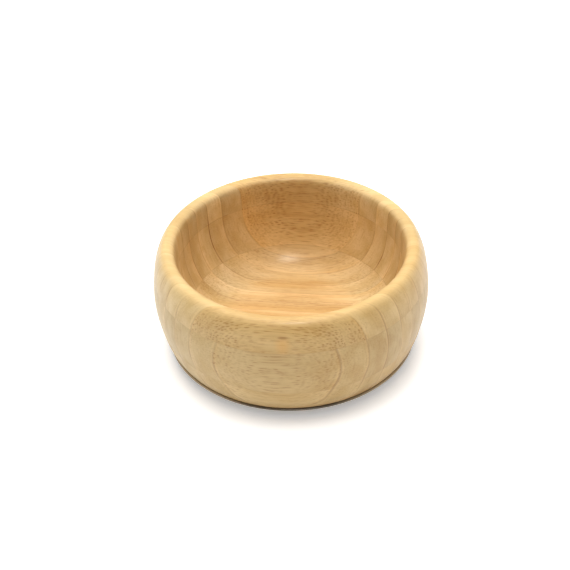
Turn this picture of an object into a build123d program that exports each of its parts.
from build123d import *
import math
import os

# A turned bamboo bowl on a removable silicone suction base.
# Millimetres. +Z up, the table is z = 0, the bowl's axis is the Z axis.
# The release tab points along +Y, away from the bowl's front (-Y).

# ---------------------------------------------------------------- dimensions
CUT_MARGIN = 1.0        # how far cutting shapes reach past the wood, up or down

# wooden bowl
BELLY_R = 63.0          # largest outside radius, at BELLY_Z
BELLY_Z = 31.0
RIM_TOP_Z = 53.8        # highest point of the rim
RIM_MID_R = 55.9        # radius of the rim's crest
FLOOR_Z = 6.4           # inside floor
FLOOR_R = 24.0          # flat part of the inside floor
FOOT_Z = 2.6            # wooden underside, inside the groove
LEDGE_Z = 4.75          # wooden underside, outside the groove
EDGE_R = 57.0           # radius of the lowest outer edge

# mounting groove under the bowl, for the base's tongue
GROOVE_R_IN = 45.95
GROOVE_R_OUT = 49.05
GROOVE_TOP_Z = 8.3

# lamination: three courses of edge-glued strips
COURSE_1_Z = 17.6       # glue plane between the base and the middle course
COURSE_2_Z = 40.1       # glue plane between the middle and the rim course
STRIP_PITCH = 7.12      # thickness of one bamboo strip
STRIP_OFFSET = 0.12     # glue line nearest the bowl's axis
STRIP_ANGLE = -7.08     # direction of the strips in plan, degrees from +X
STRIPS_PER_COURSE = 18
STRIP_CUT_L = 3 * BELLY_R   # slicing block, longer than any strip

# silicone suction base
SEAT_GAP = 0.05         # clearance between silicone and wood
BASE_TOP_Z = FOOT_Z - SEAT_GAP      # inside the tongue
FLANGE_TOP_Z = LEDGE_Z - SEAT_GAP   # outside the tongue
FLANGE_TOP_R = 57.8     # outer radius of the flange's level top
FLANGE_R = 58.25        # the flange stands a little proud of the wood
FLANGE_EDGE_Z = 4.3     # height of that outermost edge
LIP_R_IN = 49.2         # sealing lip on the table, inner and outer radius
LIP_R_OUT = 52.4
CUP_R = 37.0            # edge of the level roof of the suction cup
CUP_Z = 1.3             # height of that roof over the table
TONGUE_R_IN = GROOVE_R_IN + SEAT_GAP
TONGUE_R_OUT = GROOVE_R_OUT - SEAT_GAP
TONGUE_TOP_Z = GROOVE_TOP_Z - 0.3
TONGUE_BEVEL = 0.5      # on both top edges of the tongue

# release tab, joined to the base by a thin flexing hinge
TAB_T = 1.8             # thickness
TAB_Z = 0.3             # its underside over the table
TAB_W = 16.0            # width
TAB_END_Y = 71.2
TAB_END_R = 7.0         # corner radius at the free end
HINGE_Y = 59.4          # flexing line
HINGE_Z = TAB_Z + TAB_T / 2
HINGE_R = TAB_T / 2     # rounded end of the tab at the flexing line
HINGE_GAP = 0.05        # clearance around that rounded end
HOLLOW_W = TAB_W + 4    # hollow cut for it, wider than the neck
NECK_W = TAB_W + 2
NECK_START_Y = 51.5     # inside the base's flange
NECK_END_Y = HINGE_Y - 0.6  # the neck stops short of the flexing line
RIB_PITCH = 2.2
RIB_MID_Y = 66.0        # middle one of the three grip ribs
RIB_YS = [RIB_MID_Y + RIB_PITCH * i for i in (-1, 0, 1)]
RIB_W = 9.0             # length of a rib across the tab
RIB_T = 1.0             # thickness of a rib along the tab
RIB_H = 0.45

# ------------------------------------------------------------------ outlines
# All points are (radius, height).

# bowl wall, from the floor up the inside, over the rim and down the outside
WALL = [
    (FLOOR_R, FLOOR_Z),
    (30.0, 6.62), (35.6, 7.6), (39.4, 9.4), (42.5, 11.9), (45.1, 14.8),
    (47.2, 18.2), (48.7, 22.0), (50.1, 26.8), (50.95, 31.6), (51.35, 36.0),
    (51.5, 40.1), (51.55, 44.5), (51.65, 48.3), (51.9, 50.7), (52.5, 52.3),
    (53.55, 53.25), (54.7, 53.68),
    (RIM_MID_R, RIM_TOP_Z),
    (57.2, 53.35), (58.4, 52.1), (59.5, 50.1), (60.4, 47.8), (61.45, 43.9),
    (62.15, 39.8), (62.65, 36.0),
    (BELLY_R, BELLY_Z),
    (62.85, 26.0), (62.35, 22.0), (61.55, 17.6), (60.8, 14.0), (59.9, 10.6),
    (58.85, 8.0), (58.1, 6.4), (57.35, 5.1),
]

# underside of the base: cup roof down to the lip, then lip up to the flange
CUP_SLOPE = [(CUP_R, CUP_Z), (44.5, 0.95), (LIP_R_IN, 0)]
FLANGE_UNDERSIDE = [(LIP_R_OUT, 0), (53.3, 0.75), (54.7, 2.2), (56.4, 3.3), (57.6, 3.8)]

# rounded outer edge of the flange, from its underside to its top
FLANGE_EDGE = [
    FLANGE_UNDERSIDE[-1], (FLANGE_R, FLANGE_EDGE_Z), (FLANGE_TOP_R, FLANGE_TOP_Z),
]


def export_piece(piece, name):
    piece.label = name
    export_step(piece, f"parts/{name}.step")


# --------------------------------------------------------------- wooden bowl
def turn_bowl():
    """The whole bowl in one solid, before it is sliced into strips."""
    with BuildPart() as bowl:
        with BuildSketch(Plane.XZ):
            with BuildLine():
                Line((0, FLOOR_Z), WALL[0])
                Spline(*WALL, tangents=[(1, 0), (-0.55, -1)])
                Polyline(
                    WALL[-1], (EDGE_R, LEDGE_Z), (GROOVE_R_OUT, LEDGE_Z),
                    (GROOVE_R_OUT, FOOT_Z), (0, FOOT_Z), (0, FLOOR_Z),
                )
            make_face()
        revolve(axis=Axis.Z)
        # mounting groove
        with BuildSketch(Plane.XZ):
            with BuildLine():
                Polyline(
                    (GROOVE_R_IN, FOOT_Z - CUT_MARGIN), (GROOVE_R_OUT, FOOT_Z - CUT_MARGIN),
                    (GROOVE_R_OUT, GROOVE_TOP_Z), (GROOVE_R_IN, GROOVE_TOP_Z),
                    close=True,
                )
            make_face()
        revolve(axis=Axis.Z, mode=Mode.SUBTRACT)
    return bowl.part


# name, bottom and top of the slicing block
COURSES = (
    ("base_strip", FOOT_Z - CUT_MARGIN, COURSE_1_Z),
    ("middle_strip", COURSE_1_Z, COURSE_2_Z),
    ("rim_strip", COURSE_2_Z, RIM_TOP_Z + CUT_MARGIN),
)


def slice_strip(bowl, index, z_low, z_high):
    """One strip of a course. Index 0 is at the front (-Y), the last at the back.

    Where the cavity cuts a strip through, its two lengths stay in one piece.
    """
    run = math.radians(STRIP_ANGLE)
    course_plane = Plane(
        origin=(0, 0, z_low), x_dir=(math.cos(run), math.sin(run), 0), z_dir=(0, 0, 1)
    )
    strip_mid = STRIP_OFFSET + STRIP_PITCH * (index - STRIPS_PER_COURSE / 2 + 0.5)
    with BuildPart() as strip:
        add(bowl)
        with BuildSketch(course_plane):
            with Locations((0, strip_mid)):
                Rectangle(STRIP_CUT_L, STRIP_PITCH)
        extrude(amount=z_high - z_low, mode=Mode.INTERSECT)
    return strip.part


# ------------------------------------------------------------- silicone base
def make_suction_base():
    with BuildPart() as base:
        with BuildSketch(Plane.XZ):
            with BuildLine():
                Line((0, CUP_Z), CUP_SLOPE[0])
                Spline(*CUP_SLOPE, tangents=[(1, 0), (1, -0.35)])
                Line(CUP_SLOPE[-1], FLANGE_UNDERSIDE[0])
                Spline(*FLANGE_UNDERSIDE, tangents=[(1, 0.5), (1, 0.3)])
                Spline(*FLANGE_EDGE, tangents=[(1, 0.3), (-1, 0)])
                Polyline(
                    FLANGE_EDGE[-1], (TONGUE_R_OUT, FLANGE_TOP_Z),
                    (TONGUE_R_OUT, TONGUE_TOP_Z - TONGUE_BEVEL),
                    (TONGUE_R_OUT - TONGUE_BEVEL, TONGUE_TOP_Z),
                    (TONGUE_R_IN + TONGUE_BEVEL, TONGUE_TOP_Z),
                    (TONGUE_R_IN, TONGUE_TOP_Z - TONGUE_BEVEL),
                    (TONGUE_R_IN, BASE_TOP_Z), (0, BASE_TOP_Z), (0, CUP_Z),
                )
            make_face()
        revolve(axis=Axis.Z)
        # short neck towards the release tab
        with BuildSketch(Plane.XY.offset(TAB_Z)):
            with Locations((0, NECK_START_Y)):
                Rectangle(NECK_W, NECK_END_Y - NECK_START_Y, align=(Align.CENTER, Align.MIN))
        extrude(amount=TAB_T)
        # hollow that receives the rounded end of the tab
        with BuildSketch(Plane.YZ.offset(-HOLLOW_W / 2)):
            with Locations((HINGE_Y, HINGE_Z)):
                Circle(HINGE_R + HINGE_GAP)
        extrude(amount=HOLLOW_W, mode=Mode.SUBTRACT)
    return base.part


def make_release_tab():
    with BuildPart() as tab:
        with BuildSketch(Plane.XY.offset(TAB_Z)) as plan:
            with Locations((0, HINGE_Y)):
                Rectangle(TAB_W, TAB_END_Y - HINGE_Y, align=(Align.CENTER, Align.MIN))
            fillet(plan.vertices().group_by(Axis.Y)[-1], radius=TAB_END_R)
        extrude(amount=TAB_T)
        # rounded end at the flexing line
        with BuildSketch(Plane.YZ.offset(-TAB_W / 2)):
            with Locations((HINGE_Y, HINGE_Z)):
                Circle(HINGE_R)
        extrude(amount=TAB_W)
        # grip ribs across the top
        with BuildSketch(Plane.XY.offset(TAB_Z + TAB_T)):
            with Locations(*[(0, y) for y in RIB_YS]):
                SlotOverall(RIB_W, RIB_T)
        extrude(amount=RIB_H)
    return tab.part


os.makedirs("parts", exist_ok=True)
turned_bowl = turn_bowl()
for course, z_low, z_high in COURSES:
    for i in range(STRIPS_PER_COURSE):
        export_piece(slice_strip(turned_bowl, i, z_low, z_high), f"{course}_{i + 1:02d}")
export_piece(make_suction_base(), "suction_base")
export_piece(make_release_tab(), "release_tab")
